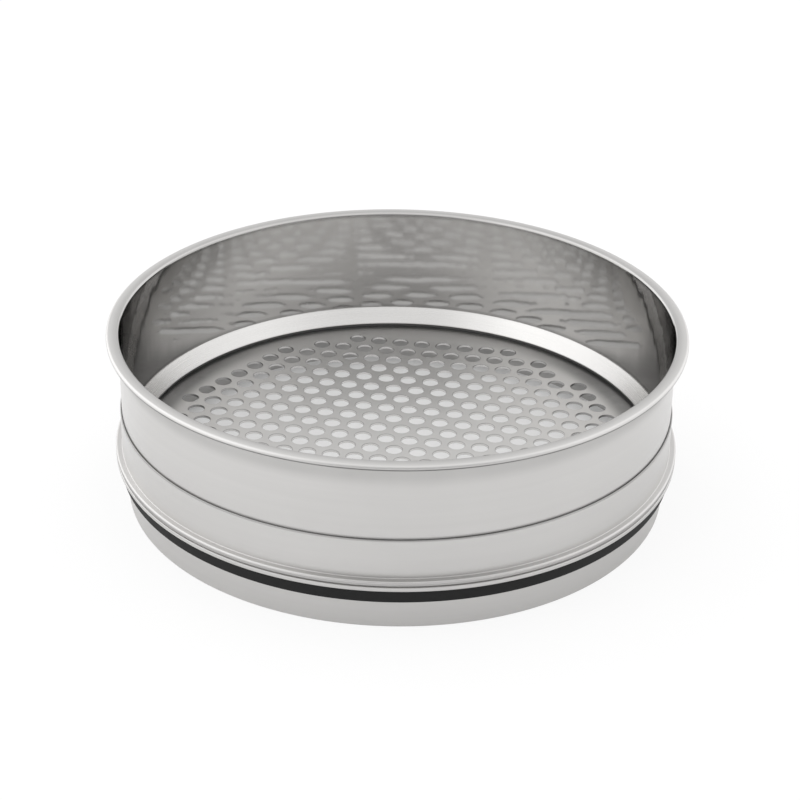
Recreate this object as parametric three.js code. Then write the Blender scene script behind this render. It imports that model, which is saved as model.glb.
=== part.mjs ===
// Laboratory test sieve: a round steel frame of two spun shells that clamp a perforated plate.
// Millimetres, +Z up, origin at the centre of the skirt's lower edge.
import * as THREE from 'three';

// Frame
const boreRadius = 100;
const sheet = 0.5;
const sievingDepth = 49.1;
const skirtDepth = 15.5;

// Top edge turned outward and rolled under
const rimReach = 4.8;
const rimCorner = 1.1;
const rollRadius = 0.95;
const rollGap = 1.3;

// Conical foot of the upper shell, which holds the gasket and the plate down
const coneWidth = 4.5;
const coneHeight = 5.65;

// Lower shell: the band round the upper shell, two beads, the cup round the plate's edge, and the skirt
const bandHeight = 14.6;
const bandFillet = 0.3;
const beadReach = 2.3;
const beadHeight = 2;
const beadRounding = 0.5;
const grooveDepth = 1.1;
const grooveHalf = 0.35;
const cupDepth = 2.3;
const nestingGap = 0.6;

// Perforated plate, with its staggered rows of holes turned and set off as punched
const plateThickness = 1;
const plateOverlap = 1.1;
const holeDiameter = 6.3;
const holeBridge = 2.57;
const rowSpacing = 7.95;
const plainMargin = 6.3;
const rowTurn = THREE.MathUtils.degToRad(-9.8);
const patternX = -3.7;
const patternY = 1.1;

// Rubber: the gasket under the cone, and the stacking seal round the skirt and the cup
const gasketHeight = 1;
const gasketSetback = 0.7;
const sealBelow = 2.8;
const sealLeg = 0.8;
const sealRounding = 0.5;

// Clearances between mating pieces
const fitGap = 0.3;
const seatGap = 0.1;

// Facets of the round pieces and of each hole
const turnSegments = 36;
const holeSides = 7;
const rollSegments = 4;
const cornerSegments = 2;

// Levels, counted up from the skirt's lower edge
const plateTop = skirtDepth;
const plateBottom = plateTop - plateThickness;
const rimTop = plateTop + sievingDepth;
const ledgeTop = plateBottom - seatGap;
const ledgeUnderside = ledgeTop - sheet;
const beadFoot = ledgeUnderside + cupDepth;
const grooveLevel = beadFoot + beadHeight;
const beadTop = grooveLevel + beadHeight;
const seamLevel = beadTop + bandHeight;
const gasketBottom = plateTop + seatGap;
const gasketTop = gasketBottom + gasketHeight;

// Radii
const wallRadius = boreRadius + sheet;
const footRadius = boreRadius - coneWidth;
const bandRadius = wallRadius + seatGap + sheet;
const beadRadius = bandRadius + beadReach;
const skirtRadius = boreRadius - nestingGap;
const plateRadius = skirtRadius + plateOverlap;
const cupRadius = plateRadius + fitGap + sheet;
const holePitch = holeDiameter + holeBridge;
const holeFieldRadius = footRadius - plainMargin - holeDiameter / 2;

const polished = { color: 0xc9cacb, roughness: 0.22, metalness: 1 };
const satin = { color: 0xbdbfc1, roughness: 0.34, metalness: 1 };
const punched = { color: 0xb4b6b8, roughness: 0.3, metalness: 1 };
const rubber = { color: 0x1d1d1f, roughness: 0.7, metalness: 0 };

// Points of an arc in the profile's plane, both ends included; angles in quarter turns from straight out
function arc(radius, level, size, fromQuarter, toQuarter, steps) {
  const points = [];
  for (let i = 0; i <= steps; i += 1) {
    const angle = (Math.PI / 2) * THREE.MathUtils.lerp(fromQuarter, toQuarter, i / steps);
    points.push([radius + size * Math.cos(angle), level + size * Math.sin(angle)]);
  }
  return points;
}

// A ring turned from a closed profile of [radius, level] points, listed anticlockwise
function turned(name, profile, finish) {
  const outline = profile.map(([radius, level]) => new THREE.Vector2(radius, level));
  outline.push(outline[0].clone());
  const geometry = new THREE.LatheGeometry(outline, turnSegments);
  geometry.rotateX(Math.PI / 2);
  const mesh = new THREE.Mesh(geometry, new THREE.MeshStandardMaterial(finish));
  mesh.name = name;
  return mesh;
}

// Upper shell: cone, straight wall and the top edge turned outward and rolled under
function upperShell() {
  const cornerRadius = boreRadius + rimCorner;
  const cornerLevel = rimTop - rimCorner;
  const rollCentre = boreRadius + rimReach - rollRadius;
  const rollLevel = rimTop - rollRadius;
  const tailRadius = wallRadius + rollGap;
  const slantLength = Math.hypot(coneWidth, coneHeight);
  const footBottom = gasketTop + seatGap;
  const footTop = footBottom + sheet * coneWidth / slantLength;
  const coneTop = footTop + coneHeight;
  const wallMitre = sheet * (slantLength - coneHeight) / coneWidth;
  return turned('upper_shell', [
    [footRadius, footTop],
    [footRadius + sheet * coneHeight / slantLength, footBottom],
    [wallRadius, coneTop - wallMitre],
    ...arc(cornerRadius, cornerLevel, rimCorner - sheet, 2, 1, cornerSegments),
    ...arc(rollCentre, rollLevel, rollRadius - sheet, 1, -1, rollSegments),
    [tailRadius, rollLevel - rollRadius + sheet],
    [tailRadius, rollLevel - rollRadius],
    ...arc(rollCentre, rollLevel, rollRadius, -1, 1, rollSegments),
    ...arc(cornerRadius, cornerLevel, rimCorner, 1, 2, cornerSegments),
    [boreRadius, coneTop],
  ], polished);
}

// Lower shell: band, two beads with a groove between them, cup with the plate's ledge, and the skirt
function lowerShell() {
  const pocketRadius = beadRadius - grooveDepth - sheet;
  return turned('lower_shell', [
    [skirtRadius - sheet, 0],
    [skirtRadius, 0],
    [skirtRadius, ledgeUnderside],
    [cupRadius, ledgeUnderside],
    [cupRadius, beadFoot],
    [beadRadius - beadRounding, beadFoot],
    [beadRadius, beadFoot + beadRounding],
    [beadRadius, grooveLevel - grooveHalf],
    [beadRadius - grooveDepth, grooveLevel],
    [beadRadius, grooveLevel + grooveHalf],
    [beadRadius, beadTop - beadRounding],
    [beadRadius - beadRounding, beadTop],
    [bandRadius + bandFillet, beadTop],
    [bandRadius, beadTop + bandFillet],
    [bandRadius, seamLevel],
    [bandRadius - sheet, seamLevel],
    [bandRadius - sheet, beadTop - sheet],
    [pocketRadius, beadTop - sheet],
    [pocketRadius, beadFoot + sheet],
    [cupRadius - sheet, beadFoot + sheet],
    [cupRadius - sheet, ledgeTop],
    [skirtRadius - sheet, ledgeTop],
  ], satin);
}

// Centres of the whole holes that fit inside the plain margin, in staggered rows
function holeCentres() {
  const centres = [];
  const origin = new THREE.Vector2();
  const along = new THREE.Vector2(holePitch, 0).rotateAround(origin, rowTurn);
  const across = new THREE.Vector2(holePitch / 2, rowSpacing).rotateAround(origin, rowTurn);
  const reach = Math.ceil(2 * plateRadius / holePitch);
  for (let row = -reach; row <= reach; row += 1) {
    for (let place = -reach; place <= reach; place += 1) {
      const centre = new THREE.Vector2(patternX, patternY);
      centre.addScaledVector(across, row);
      centre.addScaledVector(along, place);
      if (centre.length() <= holeFieldRadius) {
        centres.push(centre);
      }
    }
  }
  return centres;
}

function polygon(centre, radius, sides) {
  const points = [];
  for (let i = 0; i < sides; i += 1) {
    const angle = 2 * Math.PI * i / sides;
    points.push(new THREE.Vector2(radius * Math.cos(angle), radius * Math.sin(angle)).add(centre));
  }
  return points;
}

// Perforated plate: a flat disc with whole round holes only
function perforatedPlate() {
  const disc = new THREE.Shape(polygon(new THREE.Vector2(), plateRadius, turnSegments));
  for (const centre of holeCentres()) {
    disc.holes.push(new THREE.Path(polygon(centre, holeDiameter / 2, holeSides)));
  }
  const geometry = new THREE.ExtrudeGeometry(disc, { depth: plateThickness, bevelEnabled: false });
  const mesh = new THREE.Mesh(geometry, new THREE.MeshStandardMaterial(punched));
  mesh.name = 'perforated_plate';
  mesh.position.z = plateBottom;
  return mesh;
}

// Flat rubber gasket over the plate's edge, pressed down by the cone's lower edge
function plateGasket() {
  const inner = footRadius + gasketSetback;
  const outer = plateRadius - fitGap;
  return turned('plate_gasket', [
    [inner, gasketBottom],
    [outer, gasketBottom],
    [outer, gasketTop],
    [inner, gasketTop],
  ], rubber);
}

// Stacking seal: a stepped rubber ring round the skirt and the cup, close under the beads
function sealRing() {
  const innerTop = ledgeUnderside - seatGap;
  const bottom = innerTop - sealBelow;
  const legInner = cupRadius + seatGap;
  const outer = legInner + sealLeg;
  const legTop = beadFoot - seatGap;
  return turned('seal_ring', [
    [skirtRadius + seatGap, bottom],
    [outer - 2 * sealRounding, bottom],
    [outer - sealRounding, bottom + sealRounding],
    [outer, legTop],
    [legInner, legTop],
    [legInner, innerTop],
    [skirtRadius + seatGap, innerTop],
  ], rubber);
}

const sieve = new THREE.Group();
sieve.add(upperShell());
sieve.add(lowerShell());
sieve.add(perforatedPlate());
sieve.add(plateGasket());
sieve.add(sealRing());

export default sieve;
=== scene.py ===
"""Laboratory test sieve: fine meshes, finishes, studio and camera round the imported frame. Metres, +Z up."""

import math
from collections import namedtuple

import bmesh
import bpy
from mathutils import Matrix, Vector
from mathutils.geometry import delaunay_2d_cdt


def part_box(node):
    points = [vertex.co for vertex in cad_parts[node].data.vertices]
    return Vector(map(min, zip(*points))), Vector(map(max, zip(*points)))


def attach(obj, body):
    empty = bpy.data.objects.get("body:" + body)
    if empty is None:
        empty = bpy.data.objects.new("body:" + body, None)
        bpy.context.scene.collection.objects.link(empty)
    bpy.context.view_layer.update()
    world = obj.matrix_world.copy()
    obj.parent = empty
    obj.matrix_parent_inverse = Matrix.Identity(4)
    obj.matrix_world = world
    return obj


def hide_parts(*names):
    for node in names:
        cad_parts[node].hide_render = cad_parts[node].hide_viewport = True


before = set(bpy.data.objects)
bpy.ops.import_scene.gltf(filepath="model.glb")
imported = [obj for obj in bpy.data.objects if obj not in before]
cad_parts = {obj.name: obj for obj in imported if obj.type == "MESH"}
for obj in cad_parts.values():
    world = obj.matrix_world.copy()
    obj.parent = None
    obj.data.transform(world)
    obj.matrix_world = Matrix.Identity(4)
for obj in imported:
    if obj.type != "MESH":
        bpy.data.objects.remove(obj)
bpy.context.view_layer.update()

MM = 0.001


def extent(name):
    """Outer radius, lowest level and highest level of a round solid of the frame."""
    low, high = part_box(name)
    return high.x, low.z, high.z


# Main sizes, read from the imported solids
rim_radius, foot_bottom, rim_top = extent("upper_shell")
bead_radius, skirt_bottom, seam_level = extent("lower_shell")
plate_radius, plate_bottom, plate_top = extent("perforated_plate")
gasket_radius, gasket_bottom, gasket_top = extent("plate_gasket")
seal_radius, seal_bottom, seal_top = extent("seal_ring")

# Upper shell
sheet = 0.5 * MM
bore_radius = 100 * MM
wall_radius = bore_radius + sheet
rim_corner = 1.1 * MM
roll_radius = 0.95 * MM
roll_gap = 1.3 * MM
rim_bottom = rim_top - 2 * roll_radius
cone_width = 4.5 * MM
cone_height = 5.65 * MM
cone_slant = math.hypot(cone_width, cone_height)
foot_radius = bore_radius - cone_width
foot_top = foot_bottom + sheet * cone_width / cone_slant
cone_top = foot_top + cone_height

# Lower shell
seat_gap = 0.1 * MM
fit_gap = 0.3 * MM
nesting_gap = 0.6 * MM
cup_depth = 2.3 * MM
bead_height = 2 * MM
groove_depth = 1.1 * MM
groove_half = 0.35 * MM
band_radius = wall_radius + seat_gap + sheet
skirt_radius = bore_radius - nesting_gap
cup_radius = plate_radius + fit_gap + sheet
ledge_top = plate_bottom - seat_gap
ledge_underside = ledge_top - sheet
bead_foot = ledge_underside + cup_depth
groove_level = bead_foot + bead_height
bead_top = groove_level + bead_height

# Rubber
gasket_setback = 0.7 * MM
seal_taper = 0.5 * MM

# Holes of the plate
hole_radius = 3.15 * MM
hole_pitch = 8.87 * MM
row_spacing = 7.95 * MM
plain_margin = 6.3 * MM
hole_field = foot_radius - plain_margin - hole_radius
row_turn = math.radians(-9.8)
pattern_offset = Vector((-3.7 * MM, 1.1 * MM))
hole_rollover = 0.16 * MM
edge_break = 0.1 * MM

# Roundings, from the sharpest fold to the widest bend
fold = 0.05 * MM
foot_tip = 0.08 * MM
cut_edge = 0.1 * MM
foot_edge = 0.12 * MM
trimmed_edge = 0.15 * MM
soft_edge = 0.2 * MM
open_edge = 0.25 * MM
sheet_bend = 0.3 * MM
seal_corner = 0.5 * MM
bead_bend = 0.6 * MM
inner_bend = 1.0 * MM
outer_bend = 1.2 * MM

# Share of its radius that the rolled edge gets, so that the arcs of its two corners just don't meet
roll_share = 0.999

# Fineness of the meshes
turn_segments = 288
fillet_steps = 6
support_gap = 0.05 * MM
shortest_straight = 4 * support_gap
hole_segments = 30
rollover_steps = 3


def fillet(before, corner, after, radius):
    """Points of a rounded corner between two neighbours, from one end of its arc to the other."""
    back = (before - corner).normalized()
    ahead = (after - corner).normalized()
    half_angle = back.angle(ahead) / 2
    start = corner + back * radius / math.tan(half_angle)
    end = corner + ahead * radius / math.tan(half_angle)
    centre = corner + (back + ahead).normalized() * radius / math.sin(half_angle)
    points = []
    for step in range(fillet_steps + 1):
        chord = start.lerp(end, step / fillet_steps)
        points.append(centre + (chord - centre).normalized() * radius)
    return points


def rounded(corners):
    """Closed outline of (radius, level) points from corners (radius, level, fillet).
    Straight stretches get a point close to each end, so that they shade flat beside the fillets."""
    places = [Vector((radius, level)) for radius, level, _ in corners]
    curved = []
    for index, (_, _, size) in enumerate(corners):
        following = places[(index + 1) % len(places)]
        curved += fillet(places[index - 1], places[index], following, size)
    outline = []
    for index, point in enumerate(curved):
        run = point - curved[index - 1]
        if run.length > shortest_straight:
            step = run.normalized() * support_gap
            outline += [curved[index - 1] + step, point - step]
        outline.append(point)
    return outline


def turned(name, corners):
    """A ring turned from a closed rounded outline; its map counts round the axis and along the outline."""
    outline = rounded(corners)
    travel = [0.0]
    for index in range(len(outline)):
        travel.append(travel[-1] + (outline[index] - outline[index - 1]).length)
    mesh = bmesh.new()
    turned_map = mesh.loops.layers.uv.new("turned")
    rings = []
    for turn in range(turn_segments):
        angle = 2 * math.pi * turn / turn_segments
        cosine = math.cos(angle)
        sine = math.sin(angle)
        rings.append([mesh.verts.new((point.x * cosine, point.x * sine, point.y)) for point in outline])
    for turn in range(turn_segments):
        ring = rings[turn]
        following = rings[(turn + 1) % turn_segments]
        for index in range(len(outline)):
            face = mesh.faces.new((ring[index - 1], following[index - 1], following[index], ring[index]))
            face.smooth = True
            places = ((turn, index), (turn + 1, index), (turn + 1, index + 1), (turn, index + 1))
            for loop, (around, along) in zip(face.loops, places):
                loop[turned_map].uv = (around / turn_segments, travel[along])
    return finished(name, mesh)


def finished(name, mesh):
    """The object of a finished mesh, with its outside turned out."""
    bmesh.ops.recalc_face_normals(mesh, faces=mesh.faces)
    data = bpy.data.meshes.new(name)
    mesh.to_mesh(data)
    mesh.free()
    piece = bpy.data.objects.new(name, data)
    bpy.context.scene.collection.objects.link(piece)
    return piece


def upper_shell():
    """Bright cone, straight wall and the top edge turned outward and rolled under."""
    tail_radius = wall_radius + roll_gap
    hollow = roll_radius - sheet
    wall_mitre = sheet * (cone_slant - cone_height) / cone_width
    return turned("spun_upper_shell", [
        (foot_radius, foot_top, foot_edge),
        (foot_radius + sheet * cone_height / cone_slant, foot_bottom, foot_tip),
        (wall_radius, cone_top - wall_mitre, outer_bend),
        (wall_radius, rim_top - sheet, rim_corner - sheet),
        (rim_radius - sheet, rim_top - sheet, hollow * roll_share),
        (rim_radius - sheet, rim_bottom + sheet, hollow * roll_share),
        (tail_radius, rim_bottom + sheet, cut_edge),
        (tail_radius, rim_bottom, trimmed_edge),
        (rim_radius, rim_bottom, roll_radius * roll_share),
        (rim_radius, rim_top, roll_radius * roll_share),
        (bore_radius, rim_top, rim_corner),
        (bore_radius, cone_top, inner_bend),
    ])


def lower_shell():
    """Band, two beads with a groove between them, cup with the plate's ledge, and the skirt."""
    pocket_radius = bead_radius - groove_depth - sheet
    return turned("spun_lower_shell", [
        (skirt_radius - sheet, skirt_bottom, soft_edge),
        (skirt_radius, skirt_bottom, open_edge),
        (skirt_radius, ledge_underside, cut_edge),
        (cup_radius, ledge_underside, sheet_bend),
        (cup_radius, bead_foot, cut_edge),
        (bead_radius, bead_foot, bead_bend),
        (bead_radius, groove_level - groove_half, soft_edge),
        (bead_radius - groove_depth, groove_level, fold),
        (bead_radius, groove_level + groove_half, soft_edge),
        (bead_radius, bead_top, bead_bend),
        (band_radius, bead_top, open_edge),
        (band_radius, seam_level, soft_edge),
        (band_radius - sheet, seam_level, cut_edge),
        (band_radius - sheet, bead_top - sheet, sheet_bend),
        (pocket_radius, bead_top - sheet, sheet_bend),
        (pocket_radius, bead_foot + sheet, sheet_bend),
        (cup_radius - sheet, bead_foot + sheet, soft_edge),
        (cup_radius - sheet, ledge_top, cut_edge),
        (skirt_radius - sheet, ledge_top, soft_edge),
    ])


def plate_gasket():
    """Flat rubber ring between the plate and the cone's lower edge."""
    inner = foot_radius + gasket_setback
    return turned("flat_gasket", [
        (inner, gasket_bottom, trimmed_edge),
        (gasket_radius, gasket_bottom, cut_edge),
        (gasket_radius, gasket_top, cut_edge),
        (inner, gasket_top, trimmed_edge),
    ])


def stacking_seal():
    """Stepped rubber ring round the skirt and the cup, close under the beads."""
    inner = skirt_radius + seat_gap
    inner_top = ledge_underside - seat_gap
    leg_inner = cup_radius + seat_gap
    return turned("stacking_seal", [
        (inner, seal_bottom, soft_edge),
        (seal_radius - seal_taper, seal_bottom, seal_corner),
        (seal_radius, seal_top, open_edge),
        (leg_inner, seal_top, cut_edge),
        (leg_inner, inner_top, fold),
        (inner, inner_top, soft_edge),
    ])


def hole_centres():
    """Centres of the whole holes inside the plain margin, in staggered rows."""
    turn = Matrix.Rotation(row_turn, 2)
    along = turn @ Vector((hole_pitch, 0))
    across = turn @ Vector((hole_pitch / 2, row_spacing))
    reach = math.ceil(2 * plate_radius / hole_pitch)
    places = [(row, place) for row in range(-reach, reach + 1) for place in range(-reach, reach + 1)]
    centres = [pattern_offset + across * row + along * place for row, place in places]
    return [centre for centre in centres if centre.length <= hole_field]


def circle(centre, radius, segments):
    """Points of a circle in the plate's plane."""
    angles = [2 * math.pi * step / segments for step in range(segments)]
    return [centre + radius * Vector((math.cos(angle), math.sin(angle))) for angle in angles]


def loop_edges(first, count):
    """Edges of a closed loop of points, as pairs of indices."""
    return [(first + step, first + (step + 1) % count) for step in range(count)]


def level_loops(mesh, centres, level, edge_radius, radius):
    """Vertices of the plate's edge, and then of each hole, at one level."""
    loops = [circle(Vector((0, 0)), edge_radius, turn_segments)]
    loops += [circle(centre, radius, hole_segments) for centre in centres]
    return [[mesh.verts.new((point.x, point.y, level)) for point in points] for points in loops]


def cover(mesh, loops):
    """Flat faces between the edge's loop, which comes first, and the holes' loops.
    A triangle with all its corners on one hole lies in that hole and is left out."""
    inside_only = 1
    merge_distance = 1e-5
    verts = []
    owners = []
    edges = []
    for number, loop in enumerate(loops):
        edges += loop_edges(len(verts), len(loop))
        verts += loop
        owners += [number] * len(loop)
    flat = [vert.co.xy / MM for vert in verts]
    _, _, triangles, sources, _, _ = delaunay_2d_cdt(flat, edges, [], inside_only, merge_distance)
    for triangle in triangles:
        corners = [sources[corner][0] for corner in triangle]
        touched = {owners[corner] for corner in corners}
        if touched == {0} or len(touched) > 1:
            mesh.faces.new([verts[corner] for corner in corners])


def wall(mesh, upper, lower):
    """Smooth bands between two levels of loops."""
    for top, bottom in zip(upper, lower):
        for step in range(len(top)):
            band = mesh.faces.new((top[step - 1], top[step], bottom[step], bottom[step - 1]))
            band.smooth = True


def perforated_plate():
    """Flat disc with punched round holes, rolled over at their top edge and broken out at the lower one."""
    centres = hole_centres()
    mesh = bmesh.new()
    levels = []
    for step in range(rollover_steps + 1):
        angle = step * math.pi / 2 / rollover_steps
        level = plate_top - hole_rollover * (1 - math.cos(angle))
        edge_radius = plate_radius - edge_break * (1 - math.sin(angle))
        radius = hole_radius + hole_rollover * (1 - math.sin(angle))
        levels.append(level_loops(mesh, centres, level, edge_radius, radius))
    levels.append(level_loops(mesh, centres, plate_bottom + edge_break, plate_radius, hole_radius))
    broken_radius = hole_radius + edge_break
    levels.append(level_loops(mesh, centres, plate_bottom, plate_radius - edge_break, broken_radius))
    cover(mesh, levels[0])
    for upper, lower in zip(levels, levels[1:]):
        wall(mesh, upper, lower)
    cover(mesh, levels[-1])
    return finished("punched_plate", mesh)


def feed(tree, target, inputs):
    """Sets a node's inputs; each is a number, a colour or another node's output."""
    for key, value in inputs.items():
        if isinstance(value, bpy.types.NodeSocket):
            tree.links.new(value, target.inputs[key])
        else:
            target.inputs[key].default_value = value


def node(tree, kind, inputs=None, **settings):
    """A shader node with its settings and inputs."""
    made = tree.nodes.new(kind)
    for key, value in settings.items():
        setattr(made, key, value)
    feed(tree, made, inputs or {})
    return made


def empty_tree(owner):
    """The cleared node tree of a material or a world."""
    owner.use_nodes = True
    owner.node_tree.nodes.clear()
    return owner.node_tree


def empty_material(name):
    """A material with only a Principled shader and its output."""
    material = bpy.data.materials.new(name)
    tree = empty_tree(material)
    shader = node(tree, "ShaderNodeBsdfPrincipled")
    node(tree, "ShaderNodeOutputMaterial", {"Surface": shader.outputs["BSDF"]})
    return material, tree, shader


def grey(tone):
    """A neutral colour."""
    return tone, tone, tone, 1


def object_place(tree):
    """The place on the object, in metres."""
    return node(tree, "ShaderNodeTexCoord").outputs["Object"]


def coordinates(tree, vector):
    """The X, Y and Z of a vector."""
    return node(tree, "ShaderNodeSeparateXYZ", {"Vector": vector}).outputs


def from_axis(tree, place):
    """Distance of a place from the sieve's axis."""
    without_height = {0: place, 1: (1, 1, 0)}
    flat = node(tree, "ShaderNodeVectorMath", without_height, operation="MULTIPLY").outputs["Vector"]
    return node(tree, "ShaderNodeVectorMath", {0: flat}, operation="LENGTH").outputs["Value"]


def combined(tree, first, second, operation):
    """Two values or outputs put together by one operation."""
    return node(tree, "ShaderNodeMath", {0: first, 1: second}, operation=operation).outputs["Value"]


def unsigned(tree, value):
    """How far a value lies from zero."""
    return node(tree, "ShaderNodeMath", {0: value}, operation="ABSOLUTE").outputs["Value"]


def remapped(tree, value, low, high):
    """A value from 0 to 1 turned into the range from low to high."""
    ends = {"Value": value, "To Min": low, "To Max": high}
    return node(tree, "ShaderNodeMapRange", ends).outputs["Result"]


def eased(tree, value, start, end, low, high):
    """A value that goes smoothly from low to high while another goes from start to end."""
    ends = {"Value": value, "From Min": start, "From Max": end, "To Min": low, "To Max": high}
    return node(tree, "ShaderNodeMapRange", ends, interpolation_type="SMOOTHSTEP").outputs["Result"]


def noise(tree, vector, scale=1.0, detail=3.0, roughness=0.55):
    """Smooth noise from 0 to 1."""
    settings = {"Vector": vector, "Scale": scale, "Detail": detail, "Roughness": roughness}
    return node(tree, "ShaderNodeTexNoise", settings).outputs["Fac"]


def mixed(tree, factor, first, second):
    """A colour between two colours or outputs, by a factor from 0 to 1."""
    ends = {"Factor": factor, "A": first, "B": second}
    return node(tree, "ShaderNodeMix", ends, data_type="RGBA").outputs["Result"]


def turned_vector(tree, around, along):
    """Coordinates that change at one rate round the axis and at another along the outline."""
    place = coordinates(tree, object_place(tree))
    travel = coordinates(tree, node(tree, "ShaderNodeUVMap", uv_map="turned").outputs["UV"])["Y"]
    return node(tree, "ShaderNodeCombineXYZ", {
        "X": combined(tree, place["X"], around, "MULTIPLY"),
        "Y": combined(tree, place["Y"], around, "MULTIPLY"),
        "Z": combined(tree, travel, along, "MULTIPLY"),
    }).outputs["Vector"]


# Painted shade: a mark lies round a level, and a ring mark fades out between two radii
Mark = namedtuple("Mark", "level reach amount")
RingMark = namedtuple("RingMark", "start end amount")


def painted_shade(tree, marks, ring_marks):
    """Painted shade: the most that any mark darkens a place, a little uneven."""
    full_share = 0.3
    place = object_place(tree)
    height = coordinates(tree, place)["Z"]
    left = 0.0
    for mark in marks:
        away = unsigned(tree, combined(tree, height, mark.level, "SUBTRACT"))
        shade_amount = eased(tree, away, full_share * mark.reach, mark.reach, mark.amount, 0.0)
        left = combined(tree, left, shade_amount, "MAXIMUM")
    for mark in ring_marks:
        shade_amount = eased(tree, from_axis(tree, place), mark.start, mark.end, mark.amount, 0.0)
        left = combined(tree, left, shade_amount, "MAXIMUM")
    uneven = remapped(tree, noise(tree, place, scale=60.0, detail=4.0), low=0.7, high=1.3)
    return combined(tree, left, uneven, "MULTIPLY")


def spun_steel(name, tones, roughness, line_height, spread, edge, marks, ring_marks=(), wave_height=0.0):
    """Stainless steel with fine marks of spinning round the axis, faint bands, handling haze, low waves
    in the sheet, and painted shade that darkens its colour and its low-angle reflection at the given marks.
    Spread draws its reflections out across the marks of spinning, and edge is the share that it reflects at a
    low angle."""
    quarter_turn = 0.25
    painted_shade_tone = 0.06
    painted_shade_edge = 0.1
    material, tree, shader = empty_material(name)
    fine = noise(tree, turned_vector(tree, around=30, along=9000), detail=2.0)
    bands = noise(tree, turned_vector(tree, around=9, along=420))
    waves = noise(tree, turned_vector(tree, around=70, along=25), detail=2.0)
    haze = noise(tree, object_place(tree), scale=38.0, detail=5.0, roughness=0.62)
    shade_amount = painted_shade(tree, marks, ring_marks)
    wavy = node(tree, "ShaderNodeBump", {"Strength": 1.0, "Distance": wave_height, "Height": waves})
    lined = node(tree, "ShaderNodeBump", {
        "Strength": 1.0,
        "Distance": line_height,
        "Height": fine,
        "Normal": wavy.outputs["Normal"],
    })
    feed(tree, shader, {
        "Metallic": 1.0,
        # Painted shade darkens the colour and the reflection at a low angle where the marks lie.
        "Base Color": mixed(tree, shade_amount, mixed(tree, bands, *tones), grey(painted_shade_tone)),
        "Specular Tint": mixed(tree, shade_amount, grey(edge), grey(painted_shade_edge)),
        "Roughness": remapped(tree, combined(tree, fine, haze, "MULTIPLY"), *roughness),
        "Anisotropic": spread,
        "Anisotropic Rotation": quarter_turn,
        "Tangent": node(tree, "ShaderNodeTangent", direction_type="RADIAL", axis="Z").outputs["Tangent"],
        "Normal": lined.outputs["Normal"],
    })
    return material


def punched_steel(name, tones, roughness, shade_start_radius, shade_full_radius):
    """Rolled sheet with straight faint grain, low waves and light scuffs. Painted shade darkens it between
    two radii, most of it at the sides."""
    margin_shade_tone = 0.1
    material, tree, shader = empty_material(name)
    place = object_place(tree)
    grain_place = node(tree, "ShaderNodeMapping", {
        "Vector": place,
        "Rotation": (0, 0, -row_turn),
        "Scale": (60, 5200, 60),
    })
    grain = noise(tree, grain_place.outputs["Vector"])
    waves = noise(tree, place, scale=55.0, detail=1.5, roughness=0.5)
    scuffs = noise(tree, place, scale=160.0, detail=6.0, roughness=0.7)
    # Painted shade along the plain margin, strongest at the sides, where the walls shade the plate.
    outward = eased(tree, from_axis(tree, place), shade_start_radius, shade_full_radius, low=0.0, high=1.0)
    sideways = unsigned(tree, coordinates(tree, place)["X"])
    aside = eased(tree, sideways, start=45 * MM, end=80 * MM, low=0.15, high=0.7)
    uneven = remapped(tree, scuffs, low=0.8, high=1.2)
    margin_shade = combined(tree, combined(tree, outward, aside, "MULTIPLY"), uneven, "MULTIPLY")
    wavy = node(tree, "ShaderNodeBump", {"Strength": 0.6, "Distance": 0.15 * MM, "Height": waves})
    lined = node(tree, "ShaderNodeBump", {
        "Strength": 0.5,
        "Distance": 0.004 * MM,
        "Height": grain,
        "Normal": wavy.outputs["Normal"],
    })
    feed(tree, shader, {
        "Metallic": 1.0,
        "Base Color": mixed(tree, margin_shade, mixed(tree, scuffs, *tones), grey(margin_shade_tone)),
        "Roughness": remapped(tree, combined(tree, grain, scuffs, "MULTIPLY"), *roughness),
        "Normal": lined.outputs["Normal"],
    })
    return material


def black_rubber(name, tones, sheen):
    """Matt rubber with fine moulding grain and a faint uneven bloom."""
    material, tree, shader = empty_material(name)
    place = object_place(tree)
    bloom = noise(tree, place, scale=70.0, detail=5.0, roughness=0.6)
    grain = noise(tree, place, scale=3500.0, detail=3.0, roughness=0.6)
    grainy = node(tree, "ShaderNodeBump", {"Strength": 0.5, "Distance": 0.05 * MM, "Height": grain})
    feed(tree, shader, {
        "Base Color": mixed(tree, bloom, *tones),
        "Roughness": remapped(tree, bloom, low=0.5, high=0.75),
        "Specular IOR Level": sheen,
        "Normal": grainy.outputs["Normal"],
    })
    return material


# What the satin finishes of the shells share
satin_look = {"roughness": (0.26, 0.5), "line_height": 0.003 * MM, "spread": 0.7, "edge": 1.0}
satin_tones = (0.554, 0.546, 0.537, 1), (0.593, 0.585, 0.576, 1)


def polished_steel():
    """Bright inside of the upper shell, with painted shade towards the cone and at the rim's corner."""
    return spun_steel(
        "polished_steel",
        tones=((0.57, 0.562, 0.552, 1), (0.61, 0.602, 0.592, 1)),
        roughness=(0.035, 0.14),
        line_height=0.002 * MM,
        wave_height=0.16 * MM,
        spread=0.3,
        edge=0.8,
        # Painted shade: a dark line where the wall meets the cone, a darkening down the wall towards the
        # cone, and a dark band at the rim's inner corner that tones down its reflected highlight.
        marks=[
            Mark(level=cone_top + 0.5 * MM, reach=1.2 * MM, amount=0.3),
            Mark(level=cone_top, reach=22 * MM, amount=0.12),
            Mark(level=rim_top - 0.8 * MM, reach=1.5 * MM, amount=0.3),
        ],
    )


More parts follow.
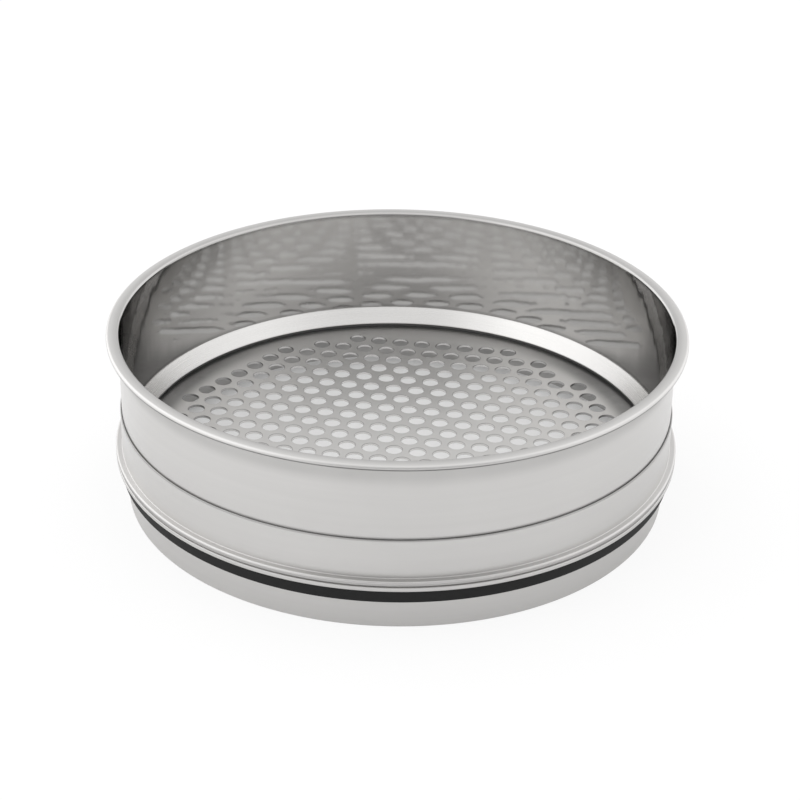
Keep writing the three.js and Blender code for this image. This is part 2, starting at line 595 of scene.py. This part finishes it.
def cone_steel():
    """Finely brushed cone, with painted shade at its lower edge."""
    return spun_steel(
        "cone_steel",
        tones=((0.61, 0.602, 0.592, 1), (0.65, 0.642, 0.632, 1)),
        roughness=(0.22, 0.42),
        line_height=0.0015 * MM,
        spread=0.7,
        edge=1.0,
        # Painted shade along the cone's lower edge, over the dark gap at the gasket.
        marks=[Mark(level=foot_top, reach=0.5 * MM, amount=0.2)],
    )


def rim_steel():
    """Satin rim, with painted shade on its underside and, a little, towards the bore."""
    return spun_steel(
        "rim_steel",
        tones=((0.575, 0.567, 0.558, 1), (0.615, 0.607, 0.598, 1)),
        # Painted shade on the underside of the rolled edge.
        marks=[Mark(level=rim_top - 1.8 * MM, reach=1.1 * MM, amount=0.7)],
        # Painted shade across the rim's top, deepest at the bore.
        ring_marks=[RingMark(start=bore_radius + rim_corner, end=rim_radius - roll_radius, amount=0.18)],
        **satin_look,
    )


def satin_steel():
    """Satin outside of both shells, with painted shade at the seam, under the rim and over the groove."""
    return spun_steel(
        "satin_steel",
        tones=satin_tones,
        marks=[
            # Painted shade: a dark line in the seam's gap, a shadow just under the rim, a wider shade down
            # the wall from the rim, and a dark line over the groove.
            Mark(level=seam_level + 0.1 * MM, reach=0.95 * MM, amount=0.38),
            Mark(level=rim_top - 3.4 * MM, reach=1.0 * MM, amount=0.75),
            Mark(level=rim_top - 4 * MM, reach=7 * MM, amount=0.18),
            Mark(level=groove_level + 0.75 * MM, reach=0.8 * MM, amount=0.3),
        ],
        **satin_look,
    )


def inside_steel():
    """Satin inside of the skirt, with painted shade under the ledge."""
    return spun_steel(
        "inside_steel",
        tones=satin_tones,
        # Painted shade on the skirt's inside, deepest under the plate's ledge.
        marks=[Mark(level=ledge_top - 5 * MM, reach=8 * MM, amount=0.42)],
        **satin_look,
    )


def plate_face_steel():
    """Flat sides of the plate, with painted shade along its plain margin."""
    return punched_steel(
        "punched_steel",
        tones=((0.555, 0.548, 0.538, 1), (0.61, 0.603, 0.593, 1)),
        roughness=(0.33, 0.6),
        # Painted shade from this radius outward.
        shade_start_radius=84 * MM,
        shade_full_radius=91 * MM,
    )


def shaded_hole_edge_steel():
    """Edges of the holes, a copy of the plate's steel painted darker as shade."""
    return punched_steel(
        "shaded_hole_edge_steel",
        # Darker tones: painted shade at the holes' edges.
        tones=((0.3, 0.295, 0.29, 1), (0.36, 0.355, 0.35, 1)),
        roughness=(0.4, 0.6),
        shade_start_radius=84 * MM,
        shade_full_radius=91 * MM,
    )


def sheared_steel():
    """Bright upright walls of the holes, with painted shade that deepens towards the plate's edge."""
    return punched_steel(
        "sheared_steel",
        tones=((0.74, 0.73, 0.72, 1), (0.8, 0.79, 0.78, 1)),
        roughness=(0.2, 0.4),
        # Painted shade over the hole walls from these radii outward.
        shade_start_radius=55 * MM,
        shade_full_radius=84 * MM,
    )


def gasket_rubber():
    """Dusty rubber of the gasket."""
    return black_rubber("gasket_rubber", tones=(grey(0.1), grey(0.13)), sheen=0.35)


def seal_rubber():
    """Deep black rubber of the stacking seal."""
    return black_rubber("seal_rubber", tones=(grey(0.008), grey(0.016)), sheen=0.2)


def studio_white():
    """Pale paper, partly self-lit for the eye and for metal, so that it stays white and keeps a soft shadow.
    Under the skirt its glow is painted: to the eye a deeper painted shadow, most of all past the outermost
    holes, and in reflections a painted light under the holes that falls to a shade at the skirt."""
    eye_glow = 0.85
    metal_glow = 0.25
    material = bpy.data.materials.new("studio_white")
    tree = empty_tree(material)
    place = object_place(tree)
    radius = from_axis(tree, place)
    path = node(tree, "ShaderNodeLightPath").outputs
    eye = combined(tree, path["Is Camera Ray"], path["Is Transmission Ray"], "MAXIMUM")
    metal = path["Is Glossy Ray"]
    eye_share = combined(tree, eye, eye_glow, "MULTIPLY")
    metal_share = combined(tree, metal, metal_glow, "MULTIPLY")
    around = combined(tree, eye_share, metal_share, "MAXIMUM")
    # Painted light and shadow under the skirt: for the eye a deeper shadow than outside, for metal a brighter
    # glow under the holes that falls to a shade at the skirt.
    painted_under_glow = eased(tree, radius, start=hole_field, end=skirt_radius - sheet, low=0.4, high=0.18)
    under = combined(tree, combined(tree, eye, metal, "MAXIMUM"), painted_under_glow, "MULTIPLY")
    outside = eased(tree, radius, start=skirt_radius - sheet, end=skirt_radius, low=0.0, high=1.0)
    share = node(tree, "ShaderNodeMix", {"Factor": outside, "A": under, "B": around}, data_type="FLOAT")
    colour = mixed(tree, noise(tree, place, scale=40.0), grey(0.9), grey(0.93))
    paper = node(tree, "ShaderNodeBsdfDiffuse", {"Color": colour})
    glow = node(tree, "ShaderNodeEmission", {"Color": grey(1), "Strength": 1.0})
    surface = node(tree, "ShaderNodeMixShader", {
        0: share.outputs["Result"],
        1: paper.outputs["BSDF"],
        2: glow.outputs["Emission"],
    })
    node(tree, "ShaderNodeOutputMaterial", {"Surface": surface.outputs["Shader"]})
    return material


def studio_floor():
    """A wide pale floor, just under the skirt's lower edge."""
    half_width = 3.0
    drop = 0.05 * MM
    mesh = bmesh.new()
    bmesh.ops.create_grid(mesh, x_segments=8, y_segments=8, size=half_width)
    bmesh.ops.translate(mesh, verts=mesh.verts, vec=(0, 0, -drop))
    floor = finished("studio_floor", mesh)
    floor.data.materials.append(studio_white())


def studio_world():
    """A white room, full white to the eye. All surfaces are lit by its soft lights: a bright ceiling,
    brighter sides and back corners, and a dimmer part low in front, round the camera."""
    world = bpy.data.worlds.new("white_room")
    bpy.context.scene.world = world
    tree = empty_tree(world)
    direction = coordinates(tree, node(tree, "ShaderNodeTexCoord").outputs["Generated"])
    ceiling = eased(tree, direction["Z"], start=0.45, end=0.75, low=0.92, high=1.2)
    in_front = eased(tree, direction["Y"], start=-0.2, end=-0.7, low=0.0, high=1.0)
    lowness = eased(tree, direction["Z"], start=0.72, end=0.5, low=0.0, high=0.45)
    dimmed = combined(tree, ceiling, combined(tree, in_front, lowness, "MULTIPLY"), "SUBTRACT")
    behind = eased(tree, direction["Y"], start=0.2, end=0.7, low=0.0, high=0.35)
    aside = eased(tree, unsigned(tree, direction["X"]), start=0.08, end=0.5, low=0.0, high=1.0)
    back_corners = combined(tree, behind, aside, "MULTIPLY")
    left_side = eased(tree, direction["X"], start=-0.2, end=-0.7, low=0.0, high=0.62)
    right_side = eased(tree, direction["X"], start=0.3, end=0.8, low=0.0, high=0.32)
    sides = combined(tree, combined(tree, left_side, right_side, "ADD"), back_corners, "ADD")
    lit = combined(tree, dimmed, sides, "ADD")
    room_light = node(tree, "ShaderNodeBackground", {"Color": grey(1), "Strength": lit})
    room_white = node(tree, "ShaderNodeBackground", {"Color": grey(1), "Strength": 1.0})
    surface = node(tree, "ShaderNodeMixShader", {
        0: node(tree, "ShaderNodeLightPath").outputs["Is Camera Ray"],
        1: room_light.outputs["Background"],
        2: room_white.outputs["Background"],
    })
    node(tree, "ShaderNodeOutputWorld", {"Surface": surface.outputs["Shader"]})


def key_lamp():
    """A large soft lamp at the upper left, which shows in no reflection."""
    place = Vector((-0.74, -0.4, 0.71))
    aim = Vector((0, 0, 0.03))
    lamp = bpy.data.lights.new("key_left", "AREA")
    lamp.shape = "SQUARE"
    lamp.size = 1.0
    lamp.energy = 0.6
    holder = bpy.data.objects.new("key_left", lamp)
    holder.location = place
    holder.rotation_euler = (aim - place).to_track_quat("-Z", "Y").to_euler()
    holder.visible_glossy = False
    bpy.context.scene.collection.objects.link(holder)


def photo_camera():
    """The photograph's viewpoint: in front, looking down on the sieve, held a little askew."""
    elevation = math.radians(28.275)
    roll = math.radians(0.904)
    distance = 0.73869
    aim = Vector((0.001277, 0, 0.032312))
    camera = bpy.data.cameras.new("photo_camera")
    camera.sensor_width = 36
    camera.lens = 90
    camera.clip_start = 0.01
    camera.clip_end = 20
    holder = bpy.data.objects.new("photo_camera", camera)
    holder.location = aim + distance * Vector((0, -math.cos(elevation), math.sin(elevation)))
    tilt = Matrix.Rotation(math.pi / 2 - elevation, 3, "X")
    holder.rotation_euler = (tilt @ Matrix.Rotation(roll, 3, "Z")).to_euler()
    bpy.context.scene.collection.objects.link(holder)
    bpy.context.scene.camera = holder


def dress(piece, replaced, material):
    """Puts a piece in place of its solid, with its main finish."""
    piece.data.materials.append(material)
    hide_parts(replaced)
    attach(piece, "root")
    return piece


def refinish(piece, material, belongs):
    """Gives the faces that pass a test their own finish."""
    piece.data.materials.append(material)
    for face in piece.data.polygons:
        if belongs(face):
            face.material_index = len(piece.data.materials) - 1


def on_outer_wall(face):
    """Whether a face of the upper shell lies on the outside of its straight wall."""
    return abs(face.center.xy.length - wall_radius) < sheet / 2


def on_rim(face):
    """Whether a face of the upper shell lies on its turned and rolled edge, past most of the corner."""
    corner_share = 0.8
    past_corner = face.center.xy.length > bore_radius + corner_share * rim_corner
    return past_corner and face.center.z > rim_bottom - sheet


def on_cone(face):
    """Whether a face of the upper shell lies on the upper side of its cone."""
    least_rise = 0.3
    return face.normal.z > least_rise and face.center.z < cone_top


def inside_skirt(face):
    """Whether a face of the lower shell lies on the inside of its skirt."""
    return face.center.xy.length < skirt_radius - sheet / 2


def in_hole(face):
    """Whether a face of the plate lies in one of its holes, edges included."""
    flat = 0.99
    return abs(face.normal.z) < flat and face.center.xy.length < foot_radius


def on_hole_wall(face):
    """Whether a face of the plate lies on the upright wall of a hole."""
    upright = 0.2
    return in_hole(face) and abs(face.normal.z) < upright


satin = satin_steel()
upper = dress(upper_shell(), "upper_shell", polished_steel())
refinish(upper, satin, on_outer_wall)
refinish(upper, rim_steel(), on_rim)
refinish(upper, cone_steel(), on_cone)
lower = dress(lower_shell(), "lower_shell", satin)
refinish(lower, inside_steel(), inside_skirt)
plate = dress(perforated_plate(), "perforated_plate", plate_face_steel())
# The holes' edges get the copy of the steel that is painted darker as shade.
refinish(plate, shaded_hole_edge_steel(), in_hole)
refinish(plate, sheared_steel(), on_hole_wall)
dress(plate_gasket(), "plate_gasket", gasket_rubber())
dress(stacking_seal(), "seal_ring", seal_rubber())

photo_camera()
studio_floor()
studio_world()
key_lamp()

bpy.context.scene.view_settings.view_transform = "Standard"
